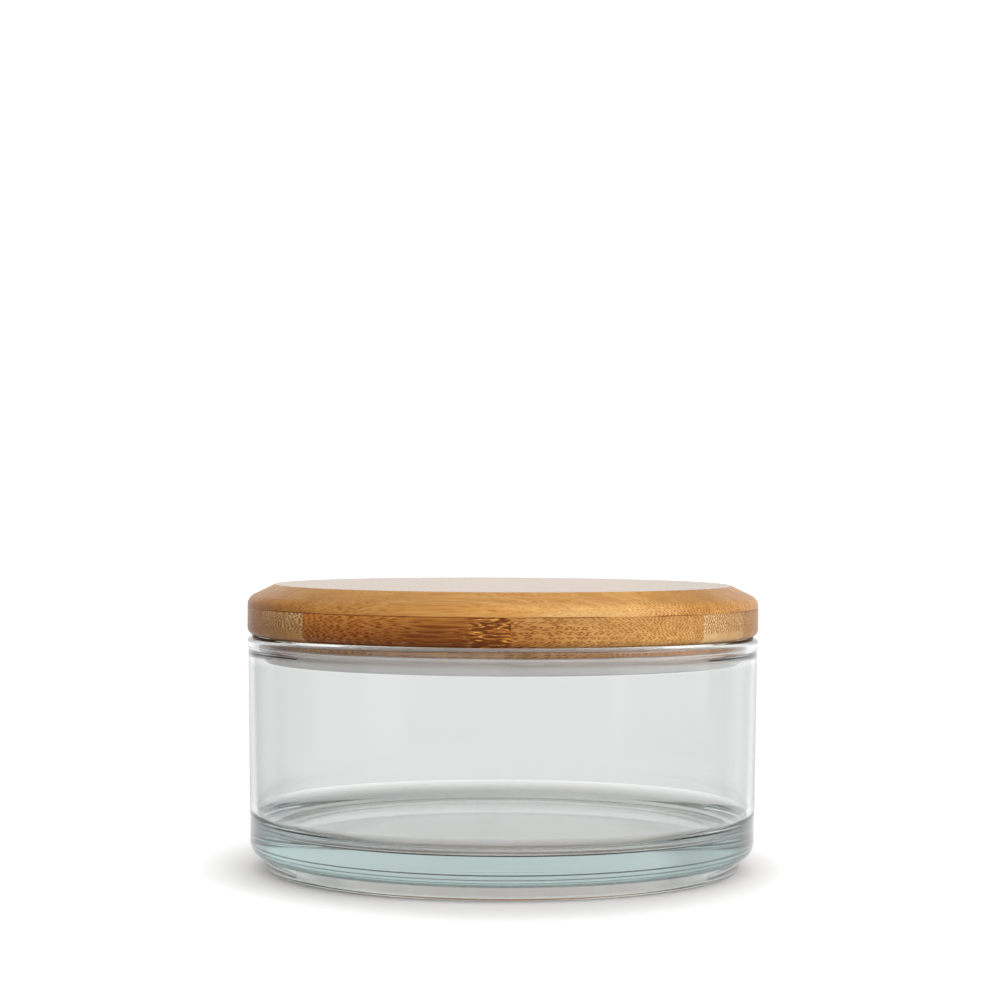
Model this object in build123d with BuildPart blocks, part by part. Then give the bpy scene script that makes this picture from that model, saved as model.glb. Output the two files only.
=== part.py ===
"""Low glass canister with a laminated bamboo plug lid and a silicone sealing band.

Units are millimetres.  +Z is up along the axis of rotation, and the origin is on the
axis, on the plane that the foot ring stands on.  The bamboo strips run along X.
"""

import os

from build123d import *

# ---- driving dimensions --------------------------------------------------------
# Lid: a turned disc of three glued plies, each made of strips laid side by side.
lid_radius = 75.0
lid_top_z = 82.9
lid_underside_z = 68.2
top_face_radius = 66.95
chamfer_foot_z = 79.05
chamfer_blend = 3.3
top_edge_round = 0.6
lid_lower_round = 2.2
upper_glue_z = 76.4
strip_width = 19.1
top_ply_first_seam = -67.1
middle_ply_first_seam = -50.7
plug_ply_first_seam = -57.3

# Plug: the lowest ply, turned smaller to drop into the mouth of the bowl.
plug_radius = 68.6
plug_bottom_z = 61.0
plug_lower_round = 0.8

# Silicone band: a tongue in a groove round the plug, a wider face below, a thin lip above.
groove_low_z = 62.1
groove_high_z = 64.4
groove_radius = 66.2
seal_clearance = 0.1
seal_radius = 69.8
seal_low_z = 60.4
seal_low_inner_round = 0.3
seal_low_outer_round = 0.4
lip_radius = 71.6
lip_root_z = 64.5
lip_root_round = 0.5
lip_under_z = 64.75
lip_over_z = 65.1
lip_edge_round = 0.15
seal_crown_radius = 69.3
seal_crown_round = 0.6
seal_high_z = 65.2
seal_high_round = 0.2

# Bowl: thin walls, a low bead inside the mouth, and a heavy base on a foot ring.
rim_z = 68.1
rim_crown_radius = 73.4
rim_crown_round = 1.3
rim_radius = 74.97
rim_shoulder_z = 67.2
rim_shoulder_round = 1.3
rim_band_foot_z = 64.9
wall_top_radius = 74.72
wall_top_z = 63.9
wall_top_round = 0.8
heel_radius = 73.95
heel_corner_z = 4.5
heel_round = 4.6
foot_radius = 69.75
foot_step_z = 3.9
foot_step_round = 0.25
foot_round = 1.6
foot_ring_inner = 64.0
foot_inner_round = 1.2
recess_radius = 62.4
recess_depth = 4.0
recess_round = 1.2
floor_z = 12.0
floor_corner_radius = 72.0
floor_round = 5.6
wall_inner_radius = 73.2
bead_under_z = 62.6
bead_radius = 72.2
bead_face_z = 64.4
bead_round = 1.8
mouth_round = 0.8


# ---- sections -------------------------------------------------------------------
def closed_section(corners):
    """A half section: corners are (radius, height, rounding), the first and the last sharp."""
    points = [(radius, height) for radius, height, _ in corners]
    roundings = [rounding for _, _, rounding in corners[1:-1]]
    with BuildSketch(Plane.XZ) as section:
        with BuildLine():
            FilletPolyline(*points, radius=roundings)
            Line(points[-1], points[0])
        make_face()
    return section.sketch


def bowl_section():
    """Inside first, from the floor up over the rim, then down the outside."""
    return closed_section(
        [
            (0, floor_z, 0),
            (floor_corner_radius, floor_z, floor_round),
            (wall_inner_radius, bead_under_z, bead_round),
            (bead_radius, bead_face_z, bead_round),
            (bead_radius, rim_z, mouth_round),
            (rim_crown_radius, rim_z, rim_crown_round),
            (rim_radius, rim_shoulder_z, rim_shoulder_round),
            (rim_radius, rim_band_foot_z, wall_top_round),
            (wall_top_radius, wall_top_z, wall_top_round),
            (heel_radius, heel_corner_z, heel_round),
            (foot_radius, foot_step_z, foot_step_round),
            (foot_radius, 0, foot_round),
            (foot_ring_inner, 0, foot_inner_round),
            (recess_radius, recess_depth, recess_round),
            (0, recess_depth, 0),
        ]
    )


def seal_section():
    """The tongue in the groove, the face below the mouth, and the lip that leans out."""
    tongue_inner = groove_radius + seal_clearance
    band_inner = plug_radius + seal_clearance
    tongue_low_z = groove_low_z + seal_clearance
    tongue_high_z = groove_high_z - seal_clearance
    return closed_section(
        [
            (tongue_inner, tongue_low_z, 0),
            (band_inner, tongue_low_z, 0),
            (band_inner, seal_low_z, seal_low_inner_round),
            (seal_radius, seal_low_z, seal_low_outer_round),
            (seal_radius, lip_root_z, lip_root_round),
            (lip_radius, lip_under_z, lip_edge_round),
            (lip_radius, lip_over_z, lip_edge_round),
            (seal_crown_radius, seal_high_z, seal_crown_round),
            (band_inner, seal_high_z, seal_high_round),
            (band_inner, tongue_high_z, 0),
            (tongue_inner, tongue_high_z, 0),
        ]
    )


def top_ply_section():
    """Flat top, a long chamfer that rolls into the side, and a flat glue face."""
    return closed_section(
        [
            (0, upper_glue_z, 0),
            (lid_radius, upper_glue_z, 0),
            (lid_radius, chamfer_foot_z, chamfer_blend),
            (top_face_radius, lid_top_z, top_edge_round),
            (0, lid_top_z, 0),
        ]
    )


def middle_ply_section():
    """The ply that rests on the rim, with its lower outer edge rounded."""
    return closed_section(
        [
            (0, lid_underside_z, 0),
            (lid_radius, lid_underside_z, lid_lower_round),
            (lid_radius, upper_glue_z, 0),
            (0, upper_glue_z, 0),
        ]
    )


def plug_ply_section():
    """The plug, with the groove that holds the tongue of the band."""
    return closed_section(
        [
            (0, plug_bottom_z, 0),
            (plug_radius, plug_bottom_z, plug_lower_round),
            (plug_radius, groove_low_z, 0),
            (groove_radius, groove_low_z, 0),
            (groove_radius, groove_high_z, 0),
            (plug_radius, groove_high_z, 0),
            (plug_radius, lid_underside_z, 0),
            (0, lid_underside_z, 0),
        ]
    )


# ---- pieces ---------------------------------------------------------------------
def save(piece, name):
    """Label a finished piece and write it as a STEP file of the same name."""
    piece.label = name
    export_step(piece, f"parts/{name}.step")


def make_ply(section, first_seam, radius, name):
    """Cut a turned ply along its glue seams, and save its strips from front to back."""
    seams = [-radius]
    seam = first_seam
    while seam < radius:
        seams.append(seam)
        seam += strip_width
    seams.append(radius)
    for number, (front, back) in enumerate(zip(seams, seams[1:]), start=1):
        with BuildPart() as strip:
            revolve(section, axis=Axis.Z)
            with BuildSketch(Plane.XY):
                with Locations((0, (front + back) / 2)):
                    Rectangle(2 * radius, back - front)
            extrude(amount=lid_top_z, mode=Mode.INTERSECT)
        save(strip.part, f"{name}_{number}")


os.makedirs("parts", exist_ok=True)

with BuildPart() as glass_bowl:
    revolve(bowl_section(), axis=Axis.Z)
save(glass_bowl.part, "glass_bowl")

with BuildPart() as silicone_seal:
    revolve(seal_section(), axis=Axis.Z)
save(silicone_seal.part, "silicone_seal")

make_ply(top_ply_section(), top_ply_first_seam, lid_radius, "lid_top_strip")
make_ply(middle_ply_section(), middle_ply_first_seam, lid_radius, "lid_middle_strip")
make_ply(plug_ply_section(), plug_ply_first_seam, plug_radius, "lid_plug_strip")
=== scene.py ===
"""Looks of the lidded glass canister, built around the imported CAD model.

Sections and paints are in millimetres, and lathe(), cut_strip() and Maker.millimetres() convert
between them and Blender's metres. The floor and the camera are in metres.
"""
import math

import bmesh
import bpy
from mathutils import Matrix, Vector


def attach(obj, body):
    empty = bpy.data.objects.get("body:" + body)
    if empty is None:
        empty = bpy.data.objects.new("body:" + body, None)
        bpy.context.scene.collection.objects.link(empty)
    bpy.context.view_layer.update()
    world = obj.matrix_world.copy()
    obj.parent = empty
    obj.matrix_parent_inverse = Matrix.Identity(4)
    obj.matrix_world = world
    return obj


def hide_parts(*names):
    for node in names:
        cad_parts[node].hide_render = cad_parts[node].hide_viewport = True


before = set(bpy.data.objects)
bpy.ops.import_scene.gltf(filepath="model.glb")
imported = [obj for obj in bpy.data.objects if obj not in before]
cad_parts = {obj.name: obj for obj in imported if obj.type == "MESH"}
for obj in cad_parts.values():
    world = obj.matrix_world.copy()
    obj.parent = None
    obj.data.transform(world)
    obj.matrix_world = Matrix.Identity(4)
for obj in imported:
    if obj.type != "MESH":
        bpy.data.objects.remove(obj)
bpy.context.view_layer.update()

# ---- sizes ----------------------------------------------------------------------
MM = 0.001
TURNS = 360  # steps of a lathe round the axis
ARC_STEP = math.radians(9)  # steps of a rounded corner
SHARP_ANGLE = math.radians(40)

STRIP_WIDTH = 19.1
LID_RADIUS = 74.97
PLUG_RADIUS = 68.6
LID_TOP_Z = 82.9
GLUE_Z = 76.4  # between the top and the middle ply
UNDERSIDE_Z = 68.2  # between the middle ply and the plug
PLUG_BOTTOM_Z = 61.0
TOP_FIRST_SEAM = -67.1
MIDDLE_FIRST_SEAM = -50.7
PLUG_FIRST_SEAM = -57.3

# Half sections: (radius, height, rounding of the corner).
BOWL = [
    (0, 12.0, 0), (72.0, 12.0, 5.6),
    (73.2, 62.6, 1.8), (72.2, 64.4, 1.8), (72.2, 68.1, 0.8), (73.4, 68.1, 1.3),
    (74.97, 67.2, 1.3), (74.97, 64.9, 0.8), (74.72, 63.9, 0.8),
    (73.95, 4.5, 4.6), (69.75, 3.9, 0.25), (69.75, 0, 1.6),
    (64.0, 0, 1.2), (62.4, 4.0, 1.2), (0, 4.0, 0),
]
BAND = [
    (66.3, 62.2, 0), (68.7, 62.2, 0), (68.7, 60.4, 0.3), (69.8, 60.4, 0.4), (69.8, 64.5, 0.5),
    (71.6, 64.75, 0.15), (71.6, 65.1, 0.15), (69.3, 65.2, 0.6), (68.7, 65.2, 0.2),
    (68.7, 64.3, 0), (66.3, 64.3, 0),
]
TOP_PLY = [
    (0, GLUE_Z, 0), (LID_RADIUS, GLUE_Z, 0), (LID_RADIUS, 79.05, 3.3),
    (66.95, LID_TOP_Z, 0.6), (0, LID_TOP_Z, 0),
]
MIDDLE_PLY = [
    (0, UNDERSIDE_Z, 0), (LID_RADIUS, UNDERSIDE_Z, 2.2), (LID_RADIUS, GLUE_Z, 0), (0, GLUE_Z, 0),
]
PLUG_PLY = [
    (0, PLUG_BOTTOM_Z, 0), (PLUG_RADIUS, PLUG_BOTTOM_Z, 0.8), (PLUG_RADIUS, 62.1, 0),
    (66.2, 62.1, 0), (66.2, 64.4, 0),
    (PLUG_RADIUS, 64.4, 0), (PLUG_RADIUS, UNDERSIDE_Z, 0), (0, UNDERSIDE_Z, 0),
]


# ---- colours --------------------------------------------------------------------
def colour(red, green, blue):
    """A colour given as 0 to 255 on screen, in the linear values that shaders take."""
    linear = []
    for level in (red, green, blue):
        share = level / 255
        linear.append(share / 12.92 if share <= 0.04045 else ((share + 0.055) / 1.055) ** 2.4)
    return (*linear, 1.0)


# Light and dark bands of each kind of strip.
TOP_TONES = (colour(216, 164, 94), colour(202, 146, 76))
MIDDLE_TONES = (colour(195, 148, 87), colour(181, 132, 73))
PALE_TONES = (colour(216, 182, 132), colour(206, 168, 118))
# Painted light: the plug's tones are brightened for the dim gap behind the glass.
PLUG_TONES_PAINTED_LIGHT = (colour(250, 192, 100), colour(240, 174, 86))

# Shades multiply the tone under them. The left, right, chamfer, end, near-knot and flat-top
# ones are painted shade; the others are grain and glue.
LEFT_PAINTED_SHADE = colour(184, 165, 136)
LEFT_PAINTED_SHADE_TOP = colour(204, 187, 164)
LEFT_PAINTED_SHADE_PALE = colour(168, 142, 110)
RIGHT_PAINTED_SHADE = colour(228, 222, 212)
CHAMFER_PAINTED_SHADE = colour(240, 238, 236)
END_PAINTED_SHADE = colour(208, 194, 168)
NEAR_KNOT_PAINTED_SHADE = colour(218, 190, 158)
THREAD_SHADE = colour(196, 150, 108)
BUNDLE_SHADE = colour(184, 138, 100)
BUNDLE_SHADE_PALE = colour(158, 118, 84)
GLUE_SHADE = colour(150, 104, 76)
FLAT_TOP_PAINTED_SHADE = colour(222, 232, 246)

# Painted light for the pale patch on the top ply.
PATCH_PAINTED_LIGHT = colour(232, 196, 138)
THREAD_TONE = colour(244, 190, 110)
SPARK = colour(78, 58, 30)
KNOT_SIDE = (colour(122, 71, 18), colour(178, 113, 42))
KNOT_DEEP = (colour(70, 28, 4), colour(128, 68, 20))
KNOT_SWIRL = (colour(92, 42, 8), colour(168, 102, 38))
KNOT_GOLD = (colour(204, 134, 52), colour(248, 196, 108))

BAMBOO_IOR = 1.15
LACQUER_IOR = 1.22
LACQUER_ROUGHNESS = 0.2
SIDE_SHINE = 0.4
TOP_SHINE = 1.0
FLAT_TOP = (0.9, 0.99)  # upward part of the normal, from the chamfer to the flat top
FIBRE_SLOPE = 0.25
DOT_PITCH = math.sqrt(0.5) * 1.3
TOP_GRAIN_Z = 84.5  # the height that the top ply's grain is graded up to
KNOT_LEFT = -8.5
KNOT_RIGHT = 2.0
KNOT_SEED = 3.0
KNOT_LINES = 40.0

GLASS_IOR = 1.52
GLASS_FACE_TINT_AND_SHADE = (0.885, 0.893, 0.890, 1)
GLASS_EDGE_TINT_AND_SHADE = (0.52, 0.57, 0.565, 1)
GLASS_THICK = (0.66, 0.89, 0.86, 1)
GLASS_CORNER_PAINTED_SHADE = (0.68, 0.69, 0.685, 1)
GLASS_CLEAR = (0.98, 0.985, 0.98, 1)
GLASS_DEPTH = (0.14, 0.40, 0.385, 1)
GLASS_DENSITY = 5.5

SILICONE_PAINTED_LIT_LOW = colour(253, 249, 245)
SILICONE_PAINTED_WOOD_HIGH = colour(249, 233, 224)
SILICONE_IOR = 1.42

# ---- stage values ---------------------------------------------------------------
FLOOR_WHITE = 0.85
# Painted light: the floor's glow, with a painted contact shadow in the oval round the foot.
FLOOR_GLOW = 0.44
FLOOR_GLOW_FROM = (0.080, 0.13)  # outside the contact shadow
FLOOR_UNDER = 0.24
FLOOR_UNDER_TO = (0.07, 0.06)  # inside the foot ring
FLOOR_OVAL = (1.35, 1.0, 1.0)
FLOOR_RADIUS = 0.16
FLOOR_DROP = 0.00005

AMBIENT = 0.3
SEEN_WHITE = 1.2
THROUGH_GLASS = 1.0  # the most that the light is when seen through the glass
EDGE_OF_BOX = 0.04
# Azimuth from and to (0 in front, 90 at the right), sine of elevation from and to, softness
# in degrees, level.
LIGHTS = [
    (124, 200, -1.2, 0.45, 9, 0.52),
    (-200, -124, -1.2, 0.45, 9, 0.45),
    (142, 200, -1.2, 0.45, 8, 0.23),
    (-200, -152, -1.2, 0.45, 6, 0.3),
    (-110, 110, -1.2, 1.2, 15, 0.3),
    (100, 140, -1.2, 0.45, 9, 0.3),
    (-62, 0, -0.104, 0.6, 3, 0.75),
    (48, 104, -0.104, 0.6, 3, 0.6),
    (14, 92, 0.02, 0.6, 4, 1.0),
    (54, 92, 0.02, 0.6, 4, 1.8),
    (-400, 400, 0.7, 1.2, 10, 0.6),
]

CAMERA_PLACE = (-0.001, -0.760, 0.1077)
CAMERA_ROLL = math.radians(-0.24)
CAMERA_LENS = 92.8
CAMERA_SENSOR = 36.0
CAMERA_CLIP = 0.01


# ---- lathe ----------------------------------------------------------------------
def rounded(corners):
    """Points of a section: corners are (radius, height, rounding), rounded by arcs."""
    points = []
    for number, (r, z, rounding) in enumerate(corners):
        here = Vector((r, z))
        if rounding == 0:
            points.append(here)
            continue
        before = (Vector(corners[number - 1][:2]) - here).normalized()
        after = (Vector(corners[number + 1][:2]) - here).normalized()
        half = before.angle(after) / 2
        centre = here + (before + after).normalized() * rounding / math.sin(half)
        start = here + before * rounding / math.tan(half) - centre
        turn = start.angle_signed(here + after * rounding / math.tan(half) - centre)
        steps = max(2, round(abs(turn) / ARC_STEP))
        for step in range(steps + 1):
            angle = -turn * step / steps
            c, s = math.cos(angle), math.sin(angle)
            points.append(centre + Vector((c * start.x - s * start.y, s * start.x + c * start.y)))
    return points


def lathe(name, corners, closed=False):
    """A smooth solid of revolution. An open section starts and ends on the axis."""
    section = rounded(corners)
    shape = bmesh.new()
    rings = []
    for r, z in section:
        if r == 0:
            rings.append([shape.verts.new((0, 0, z * MM))])
            continue
        ring = []
        for step in range(TURNS):
            angle = 2 * math.pi * step / TURNS
            ring.append(shape.verts.new((r * MM * math.cos(angle), r * MM * math.sin(angle), z * MM)))
        rings.append(ring)
    pairs = list(zip(rings, rings[1:]))
    if closed:
        pairs.append((rings[-1], rings[0]))
    for low, high in pairs:
        for step in range(TURNS):
            after = (step + 1) % TURNS
            low_edge = [low[step % len(low)], low[after % len(low)]]
            high_edge = [high[after % len(high)], high[step % len(high)]]
            shape.faces.new(list(dict.fromkeys(low_edge + high_edge)))
    bmesh.ops.recalc_face_normals(shape, faces=shape.faces)
    mesh = bpy.data.meshes.new(name)
    shape.to_mesh(mesh)
    shape.free()
    piece = bpy.data.objects.new(name, mesh)
    bpy.context.scene.collection.objects.link(piece)
    smooth(piece)
    return piece


def smooth(piece):
    """Smooth shading that keeps flats flat and sharp corners sharp."""
    mesh = piece.data
    mesh.shade_smooth()
    mesh.set_sharp_from_angle(angle=SHARP_ANGLE)
    weighted = piece.modifiers.new("normals", "WEIGHTED_NORMAL")
    weighted.keep_sharp = True


# ---- node helpers ---------------------------------------------------------------
def new_material(name):
    """A material with its tree's maker and its Principled shader."""
    material = bpy.data.materials.new(name)
    material.use_nodes = True
    return material, Maker(material.node_tree), material.node_tree.nodes["Principled BSDF"]


class Maker:
    """Short calls that add nodes to a tree and join them up."""

    def __init__(self, tree):
        self.tree = tree

    def add(self, kind, inputs=(), **settings):
        made = self.tree.nodes.new(kind)
        for key, value in settings.items():
            setattr(made, key, value)
        for socket, value in dict(inputs).items():
            self.put(made.inputs[socket], value)
        return made

    def put(self, socket, value):
        """Link a socket to another, or set its own value."""
        if isinstance(value, bpy.types.NodeSocket):
            self.tree.links.new(value, socket)
        else:
            socket.default_value = value

    def math(self, operation, a, b=0.0, c=0.0, clamp=False):
        made = self.add("ShaderNodeMath", {0: a, 1: b, 2: c}, operation=operation, use_clamp=clamp)
        return made.outputs[0]

    def times(self, first, *others):
        for other in others:
            first = self.math("MULTIPLY", first, other)
        return first

    def times_plus(self, value, factor, added):
        return self.math("MULTIPLY_ADD", value, factor, added)

    def away_from(self, value, middle):
        return self.math("ABSOLUTE", self.math("SUBTRACT", value, middle))

    def step(self, value, low, high, to_low=0.0, to_high=1.0):
        """A soft step. It falls instead of rising where low is above high."""
        made = self.add(
            "ShaderNodeMapRange",
            {"Value": value, "From Min": low, "From Max": high, "To Min": to_low, "To Max": to_high},
            interpolation_type="SMOOTHSTEP",
        )
        return made.outputs["Result"]

    def vector(self, x, y, z):
        return self.add("ShaderNodeCombineXYZ", {0: x, 1: y, 2: z}).outputs[0]

    def split(self, vector):
        return self.add("ShaderNodeSeparateXYZ", {0: vector}).outputs

    def stretched(self, vector, by):
        made = self.add("ShaderNodeVectorMath", {0: vector, 1: by}, operation="MULTIPLY")
        return made.outputs[0]

    def length(self, vector):
        return self.add("ShaderNodeVectorMath", {0: vector}, operation="LENGTH").outputs["Value"]

    def place(self):
        return self.add("ShaderNodeTexCoord").outputs["Object"]

    def millimetres(self, place):
        return [self.times(axis, 1 / MM) for axis in self.split(place)]

    def upward(self):
        """The upward part of the surface's normal."""
        return self.split(self.add("ShaderNodeNewGeometry").outputs["Normal"])[2]

    def noise(self, vector, scale, detail=2.0, roughness=0.5, output="Fac"):
        made = self.add(
            "ShaderNodeTexNoise",
            {"Vector": vector, "Scale": scale, "Detail": detail, "Roughness": roughness},
        )
        return made.outputs[output]

    def spots(self, x, y, randomness):
        """Distance from the nearest of a field of scattered points."""
        made = self.add(
            "ShaderNodeTexVoronoi",
            {"Vector": self.vector(x, y, 0.0), "Scale": 1.0, "Randomness": randomness},
            voronoi_dimensions="2D",
        )
        return made.outputs["Distance"]

    def mix(self, share, a, b, blend="MIX"):
        made = self.add("ShaderNodeMix", data_type="RGBA", blend_type=blend, clamp_factor=True)
        self.put(made.inputs["Factor"], share)
        self.put(made.inputs[6], a)
        self.put(made.inputs[7], b)
        return made.outputs[2]

    def shaded(self, share, tone, shade):
        return self.mix(share, tone, self.mix(1.0, tone, shade, "MULTIPLY"))


# ---- bamboo ---------------------------------------------------------------------
def bamboo(name, low_z, high_z, tones, seed, pale=False, knot=False, chamfered=False):
    """Slatted bamboo: bundles of fibre along X, small and close towards the top of the ply."""
    material, m, shader = new_material(name)
    place = m.place()
    x, y, z = m.millimetres(place)
    share_up = m.math("DIVIDE", m.math("SUBTRACT", z, low_z), high_z - low_z, clamp=True)

    # The fibres lie a little askew and wander.
    slow = m.vector(m.times(x, 0.02), m.times(y, 0.07), m.math("ADD", z, seed * 7.3))
    sway_across, sway_up, _ = m.split(m.noise(slow, 0.8, 1.0, output="Color"))
    across = m.times_plus(sway_across, 5.0, m.times_plus(x, FIBRE_SLOPE, y))
    up = m.times_plus(sway_up, 1.6, z)
    bundles, sparks = bamboo_marks(m, x, across, up, share_up, seed, pale, chamfered)

    # Fine fibres and broad bands of tone.
    threads = m.noise(m.vector(m.times(x, 0.03), across, up), 3.2, 4.0, 0.65)
    band_place = m.vector(m.times(x, 0.012), m.times(across, 0.35), m.times_plus(up, 0.35, seed))
    light, dark = tones
    tone = m.mix(m.step(m.noise(band_place, 1.0), 0.3, 0.7), dark, light)
    tone = bamboo_shades(m, x, y, share_up, tone, pale, chamfered)
    if knot:
        tone = beside_knot(m, x, share_up, tone)
    tone = m.mix(m.times(m.step(threads, 0.48, 0.7), 0.5), tone, m.mix(0.35, tone, THREAD_TONE))
    tone = m.shaded(m.times(m.step(threads, 0.5, 0.32), 0.5), tone, THREAD_SHADE)
    tone = m.shaded(m.times(bundles, 0.8), tone, BUNDLE_SHADE_PALE if pale else BUNDLE_SHADE)
    tone = m.mix(m.times(sparks, 0.8), tone, m.mix(1.0, tone, SPARK, "ADD"))

    # A thin dark line of glue where two plies meet.
    at_glue = m.step(m.away_from(z, GLUE_Z), 0.22, 0.08)
    patchy = m.step(m.noise(place, 45.0), 0.35, 0.6)
    tone = m.shaded(m.times(patchy, 0.8, at_glue), tone, GLUE_SHADE)
    if knot:
        tone = knot_tone(m, x, z, tone)

    # The flat top is sanded finer and glossier than the chamfer and the side; painted shade dims
    # and cools its colour, so that its grazing sheen reads pale.
    upward = m.upward()
    tone = m.shaded(m.step(upward, *FLAT_TOP), tone, FLAT_TOP_PAINTED_SHADE)
    m.put(shader.inputs["Base Color"], tone)
    m.put(shader.inputs["Roughness"], m.times_plus(threads, 0.2, 0.4))
    m.put(shader.inputs["Coat Weight"], m.step(upward, *FLAT_TOP, SIDE_SHINE, TOP_SHINE))
    shader.inputs["IOR"].default_value = BAMBOO_IOR
    shader.inputs["Coat Roughness"].default_value = LACQUER_ROUGHNESS
    shader.inputs["Coat IOR"].default_value = LACQUER_IOR
    height = m.math("SUBTRACT", m.times(threads, 0.5), m.times(bundles, 0.5))
    bump = m.add("ShaderNodeBump", {"Strength": 0.12, "Distance": 0.0001, "Height": height})
    m.put(shader.inputs["Normal"], bump.outputs[0])
    return material


def bamboo_marks(m, x, across, up, share_up, seed, pale, chamfered):
    """Shares of the dark bundles and of the light between them.

    Near the middle of the strip they are pale ovals with dark outlines. At its ends and near
    its top they are dots close together.
    """
    wide = m.spots(m.times_plus(across, 0.85, seed * 3.1), m.times(up, 0.7), 0.35)
    outline = m.times(m.step(wide, 0.1, 0.2), m.step(wide, 0.4, 0.3))
    core = m.step(wide, 0.17, 0.07)
    close = m.spots(
        m.times_plus(m.math("ADD", across, up), DOT_PITCH, seed * 5.7),
        m.times(m.math("SUBTRACT", across, up), DOT_PITCH),
        0.4,
    )
    dot = m.step(close, 0.42, 0.28) if pale else m.step(close, 0.32, 0.2)
    ground = m.step(close, 0.42, 0.55)
    if pale:
        high = m.step(share_up, 0.25, 0.42)
        return m.times(dot, high), m.times(ground, high)
    outward = m.times(m.step(m.math("ABSOLUTE", x), 14.0, 52.0), 0.75)
    high = m.step(m.times_plus(share_up, 0.5, outward), 0.35, 0.75)
    low = m.math("SUBTRACT", 1.0, high)
    if chamfered:
        # Higher up the ply, where the chamfer cuts, and at the left the dots fade out.
        high = m.times(m.step(share_up, 0.75, 0.15), m.step(x, -70.0, 20.0, 0.45, 1.0), high)
        low = m.times(low, 0.3)
    bundles = m.math("ADD", m.times(outline, low), m.times(dot, high), clamp=True)
    sparks = m.math("ADD", m.times(core, low), m.times(ground, high), clamp=True)
    return bundles, sparks


def bamboo_shades(m, x, y, share_up, tone, pale, chamfered):
    """The strip's tone from end to end, with painted shade: darker at the left, most of all low
    down, and at both ends.
    """
    # Painted shade at the left, strongest low in the ply.
    left = m.times(m.step(x, 10.0, -62.0), m.step(share_up, 1.6, -0.2))
    if not chamfered:
        tone = m.shaded(left, tone, LEFT_PAINTED_SHADE_PALE if pale else LEFT_PAINTED_SHADE)
        # Painted shade towards both ends, on the front of the ply.
        ends = m.times(m.step(m.math("ABSOLUTE", x), 48.0, 74.0), m.step(y, 0.0, -20.0))
        return m.shaded(ends, tone, END_PAINTED_SHADE)
    # Painted light: a pale patch low in the ply, right of the middle. Painted shade: a browner
    # stretch beyond it.
    tone = m.shaded(left, tone, LEFT_PAINTED_SHADE_TOP)
    patch = m.times(m.step(m.away_from(x, 25.0), 26.0, 6.0), m.step(share_up, 0.6, 0.1))
    tone = m.mix(m.times(patch, 0.4), tone, PATCH_PAINTED_LIGHT)
    tone = m.shaded(m.step(x, 32.0, 56.0), tone, RIGHT_PAINTED_SHADE)
    # Painted shade over the upper part of the ply: the chamfer and the top.
    tone = m.shaded(m.step(share_up, 0.3, 0.5), tone, CHAMFER_PAINTED_SHADE)
    # Painted shade at the left end, low in the ply.
    end = m.times(m.step(x, -44.0, -74.0), m.step(share_up, 0.35, 0.1))
    return m.shaded(end, tone, END_PAINTED_SHADE)


def beside_knot(m, x, share_up, tone):
    """One side of the node is browner than the other, most of all low down. Painted shade also
    darkens the low part of the strip from x = 26 mm leftwards.
    """
    tone = m.mix(m.times(m.step(x, 3.0, -12.0), 0.85), tone, m.mix(share_up, *KNOT_SIDE))
    # Painted shade, low in the ply, from the knot leftwards.
    near = m.times(m.step(x, 26.0, 0.0), m.step(share_up, 1.3, 0.1))
    return m.shaded(near, tone, NEAR_KNOT_PAINTED_SHADE)


def knot_tone(m, x, z, tone):
    """The node in the front strip: dark swirls with thin broken slivers of gold, cut off sharply."""
    drift = m.noise(m.vector(m.times(x, 0.09), m.times(z, 0.6), KNOT_SEED), 1.0, 2.0, 0.45)
    fine = m.noise(m.vector(m.times(x, 0.55), m.times(z, 1.9), 8.0), 1.0, 3.0, 0.6)
    wave = m.math("SINE", m.times_plus(drift, KNOT_LINES, m.times(fine, 1.6)))
    right = m.step(m.times_plus(fine, -1.2, x), KNOT_RIGHT - 0.35, KNOT_RIGHT - 0.75)
    inside = m.times(m.step(m.times_plus(fine, 5.0, x), KNOT_LEFT, KNOT_LEFT + 4.0), right)
    beside = m.times(m.step(x, KNOT_LEFT - 22.0, KNOT_LEFT), right)

    long_place = m.vector(m.times(x, 0.06), m.times(z, 2.4), 2.0)
    streaks = m.step(m.noise(long_place, 1.0, 3.0, 0.65), 0.56, 0.42)
    low_down = m.step(m.times_plus(fine, 1.8, z), 72.2, 70.0)
    deep = m.mix(fine, *KNOT_DEEP)
    tone = m.mix(m.times(streaks, 0.5, beside), tone, deep)
    tone = m.mix(m.times(low_down, 0.45, beside), tone, deep)
    swirl = m.mix(m.step(wave, -0.6, 0.8), *KNOT_SWIRL)
    tone = m.mix(m.times(inside, 0.85), tone, swirl)
    corner = m.times(m.step(x, KNOT_RIGHT - 9.0, KNOT_RIGHT - 4.0), low_down)
    tone = m.mix(m.times(corner, 0.85, inside), tone, deep)
    sliver = m.times(m.step(wave, 0.86, 0.99), m.step(fine, 0.42, 0.56))
    return m.mix(m.times(sliver, 0.85, inside), tone, m.mix(fine, *KNOT_GOLD))


def top_paint(number):
    return bamboo(f"bamboo_top_{number}", GLUE_Z, TOP_GRAIN_Z, TOP_TONES, number, chamfered=True)


def middle_paint(number):
    """The front strip has the knot, and the next one is of a paler piece."""
    pale = number == 2
    tones = PALE_TONES if pale else MIDDLE_TONES
    name = f"bamboo_middle_{number}"
    return bamboo(name, UNDERSIDE_Z, GLUE_Z, tones, 20 + number, pale=pale, knot=number == 1)


def plug_paint(number):
    # The plug's tones carry painted light.
    return bamboo(f"bamboo_plug_{number}", PLUG_BOTTOM_Z, UNDERSIDE_Z, PLUG_TONES_PAINTED_LIGHT, 40 + number)


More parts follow.
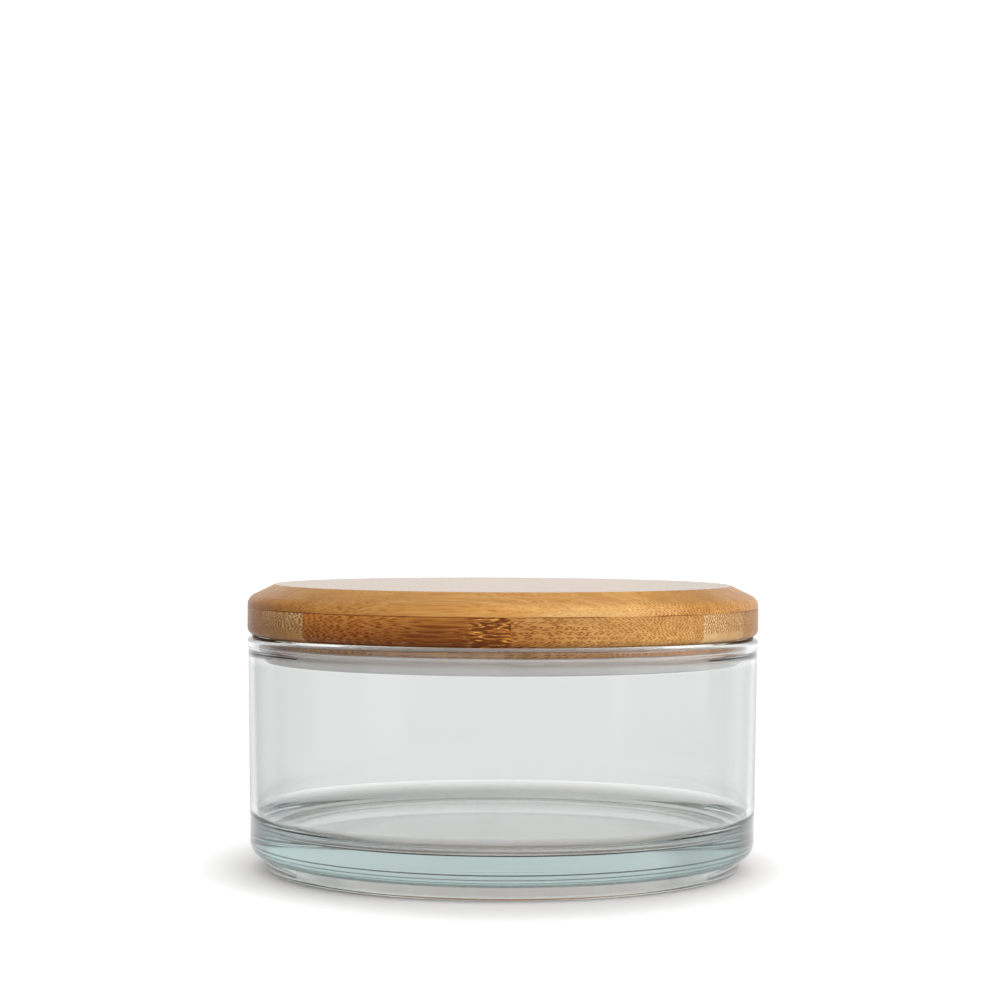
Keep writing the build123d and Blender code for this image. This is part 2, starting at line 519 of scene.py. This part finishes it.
# ---- glass, silicone, floor -----------------------------------------------------
def clear_glass():
    """Soda glass: nearly clear across the thin wall, sea green along it and in the base.

    The tint is partly painted shade: it dims what shows through the wall, darker at grazing
    angles and in the inner corner of the base, and leaves the level faces, the foot and the rim
    clear.
    """
    material, m, shader = new_material("clear_glass")
    place = m.place()
    _, _, z = m.millimetres(place)
    radius = m.length(m.stretched(place, (1 / MM, 1 / MM, 0.0)))
    facing = m.add("ShaderNodeLayerWeight", {"Blend": 0.5}).outputs["Facing"]
    # Green tint and painted shade: the wall dims what shows through it, darker at grazing angles.
    tint = m.mix(m.step(facing, 0.55, 1.0), GLASS_FACE_TINT_AND_SHADE, GLASS_EDGE_TINT_AND_SHADE)
    tint = m.mix(m.times(m.step(z, 18.0, 12.5), m.step(facing, 0.15, 0.8)), tint, GLASS_THICK)
    # Painted shade in the inner corner of the base.
    in_corner = m.times(m.step(z, 12.2, 13.5), m.step(z, 17.5, 15.5), m.step(radius, 73.0, 72.6))
    tint = m.mix(in_corner, tint, GLASS_CORNER_PAINTED_SHADE)
    # The level faces, the foot and the rim are left clear of the painted dimming.
    level = m.step(m.math("ABSOLUTE", m.upward()), 0.75, 0.95)
    foot_or_rim = m.math("ADD", m.step(z, 4.5, 3.0), m.step(z, 60.0, 61.5))
    tint = m.mix(m.math("MAXIMUM", level, foot_or_rim), tint, GLASS_CLEAR)
    m.put(shader.inputs["Base Color"], tint)
    shader.inputs["Roughness"].default_value = 0.0
    shader.inputs["IOR"].default_value = GLASS_IOR
    shader.inputs["Transmission Weight"].default_value = 1.0
    body = m.add("ShaderNodeVolumeAbsorption", {"Color": GLASS_DEPTH, "Density": GLASS_DENSITY})
    m.put(material.node_tree.nodes["Material Output"].inputs["Volume"], body.outputs[0])
    return material


def milky_silicone():
    """Clear-white rubber, with painted light in its colour: paler low down, as if lit from inside
    the bowl, and warmer near the top, a painted stand-in for the wood showing through.
    """
    material, m, shader = new_material("milky_silicone")
    place = m.place()
    _, _, z = m.millimetres(place)
    noisy_height = m.times_plus(m.noise(place, 90.0, 3.0), 1.2, m.math("SUBTRACT", z, 0.6))
    # Painted light: paler low down, warmer near the top.
    m.put(shader.inputs["Base Color"], m.mix(m.step(noisy_height, 60.6, 65.4), SILICONE_PAINTED_LIT_LOW, SILICONE_PAINTED_WOOD_HIGH))
    m.put(shader.inputs["Roughness"], m.step(noisy_height, 60.0, 66.0, 0.35, 0.5))
    shader.inputs["Subsurface Weight"].default_value = 0.7
    shader.inputs["Subsurface Radius"].default_value = (1.0, 0.9, 0.85)
    shader.inputs["Subsurface Scale"].default_value = 0.005
    shader.inputs["IOR"].default_value = SILICONE_IOR
    return material


def floor_paint():
    """A white table that glows outside an oval round the foot, and a little inside the ring.

    The glow is painted light: the oval without it deepens the contact shadow as painted shadow,
    and the glow inside the ring lights the floor under the base.
    """
    material, m, shader = new_material("floor_paint")
    reach = m.length(m.stretched(m.place(), FLOOR_OVAL))
    under = m.times(m.step(reach, *FLOOR_UNDER_TO), FLOOR_UNDER)
    glow = m.times_plus(m.step(reach, *FLOOR_GLOW_FROM), FLOOR_GLOW, under)
    m.put(shader.inputs["Emission Strength"], glow)
    shader.inputs["Emission Color"].default_value = (1, 1, 1, 1)
    shader.inputs["Base Color"].default_value = (FLOOR_WHITE, FLOOR_WHITE, FLOOR_WHITE, 1)
    shader.inputs["Roughness"].default_value = 0.9
    shader.inputs["Specular IOR Level"].default_value = 0.0
    return material


# ---- pieces ---------------------------------------------------------------------
def finish_piece(piece, node, body, material):
    """Paint a piece, say which body it rides on, and hide the CAD node that it stands for."""
    piece.data.materials.append(material)
    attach(piece, body)
    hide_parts(node)


def cut_strip(whole, name, front, back):
    """One strip of a turned ply, between two planes across Y."""
    piece = bpy.data.objects.new(name, whole.data.copy())
    bpy.context.scene.collection.objects.link(piece)
    shape = bmesh.new()
    shape.from_mesh(piece.data)
    for place, side in ((front, -1), (back, 1)):
        cut = bmesh.ops.bisect_plane(
            shape,
            geom=shape.verts[:] + shape.edges[:] + shape.faces[:],
            dist=1e-7,
            plane_co=(0, place * MM, 0),
            plane_no=(0, side, 0),
            clear_outer=True,
        )
        rim = [part for part in cut["geom_cut"] if isinstance(part, bmesh.types.BMEdge)]
        if rim:
            bmesh.ops.contextual_create(shape, geom=rim)
    shape.to_mesh(piece.data)
    shape.free()
    smooth(piece)
    return piece


def make_ply(name, corners, first_seam, radius, paint):
    """Turn a ply whole, then cut it into strips from front to back."""
    whole = lathe("whole", corners)
    seams = [-radius - 1]
    seam = first_seam
    while seam < radius:
        seams.append(seam)
        seam += STRIP_WIDTH
    seams.append(radius + 1)
    for number, (front, back) in enumerate(zip(seams, seams[1:]), start=1):
        node = f"{name}_{number}"
        piece = cut_strip(whole, node.replace("lid_", ""), front, back)
        finish_piece(piece, node, "lid", paint(number))
    bpy.data.objects.remove(whole)


# ---- stage ----------------------------------------------------------------------
def make_floor():
    mesh = bpy.data.meshes.new("floor")
    shape = bmesh.new()
    bmesh.ops.create_circle(shape, cap_ends=True, radius=FLOOR_RADIUS, segments=96)
    shape.to_mesh(mesh)
    shape.free()
    floor = bpy.data.objects.new("floor", mesh)
    floor.location.z = -FLOOR_DROP
    bpy.context.scene.collection.objects.link(floor)
    floor.data.materials.append(floor_paint())


def make_world():
    """Soft studio light by direction: a bright ceiling, a key from the right, a pale back wall.

    The camera sees it as plain white, and through the glass it is no brighter than a limit.
    """
    world = bpy.data.worlds.new("studio")
    bpy.context.scene.world = world
    world.use_nodes = True
    m = Maker(world.node_tree)
    shader = world.node_tree.nodes["Background"]
    shader.inputs["Color"].default_value = (1, 1, 1, 1)
    across, along, up = m.split(m.add("ShaderNodeTexCoord").outputs["Generated"])
    azimuth = m.math("ARCTAN2", across, m.times(along, -1.0))

    def window(value, low, high, soft):
        return m.times(m.step(value, low - soft, low + soft), m.step(value, high + soft, high - soft))

    level = AMBIENT
    for start, end, bottom, top, soft, power in LIGHTS:
        around = window(azimuth, math.radians(start), math.radians(end), math.radians(soft))
        level = m.times_plus(m.times(around, window(up, bottom, top, EDGE_OF_BOX)), power, level)
    rays = m.add("ShaderNodeLightPath").outputs
    straight = m.math("LESS_THAN", rays["Diffuse Depth"], 0.5)
    through_glass = m.times(rays["Is Transmission Ray"], straight)
    capped = m.math("MINIMUM", level, THROUGH_GLASS)
    lit = m.add("ShaderNodeMix", {0: through_glass, 2: level, 3: capped}).outputs[0]
    seen = m.add("ShaderNodeMix", {0: rays["Is Camera Ray"], 2: lit, 3: SEEN_WHITE}).outputs[0]
    m.put(shader.inputs["Strength"], seen)


def make_camera():
    data = bpy.data.cameras.new("camera")
    data.lens = CAMERA_LENS
    data.sensor_width = CAMERA_SENSOR
    data.clip_start = CAMERA_CLIP
    camera = bpy.data.objects.new("camera", data)
    camera.location = CAMERA_PLACE
    camera.rotation_euler = (math.radians(90), CAMERA_ROLL, 0)
    bpy.context.scene.collection.objects.link(camera)
    bpy.context.scene.camera = camera


finish_piece(lathe("bowl_glass", BOWL), "glass_bowl", "bowl", clear_glass())
finish_piece(lathe("seal_ring", BAND, closed=True), "silicone_seal", "seal", milky_silicone())
make_ply("lid_top_strip", TOP_PLY, TOP_FIRST_SEAM, LID_RADIUS, top_paint)
make_ply("lid_middle_strip", MIDDLE_PLY, MIDDLE_FIRST_SEAM, LID_RADIUS, middle_paint)
make_ply("lid_plug_strip", PLUG_PLY, PLUG_FIRST_SEAM, PLUG_RADIUS, plug_paint)
make_floor()
make_world()
make_camera()

scene = bpy.context.scene
scene.view_settings.view_transform = "Standard"
scene.cycles.max_bounces = 24
scene.cycles.transmission_bounces = 20
scene.cycles.glossy_bounces = 8
scene.cycles.transparent_max_bounces = 24
scene.cycles.caustics_refractive = True
scene.cycles.caustics_reflective = True
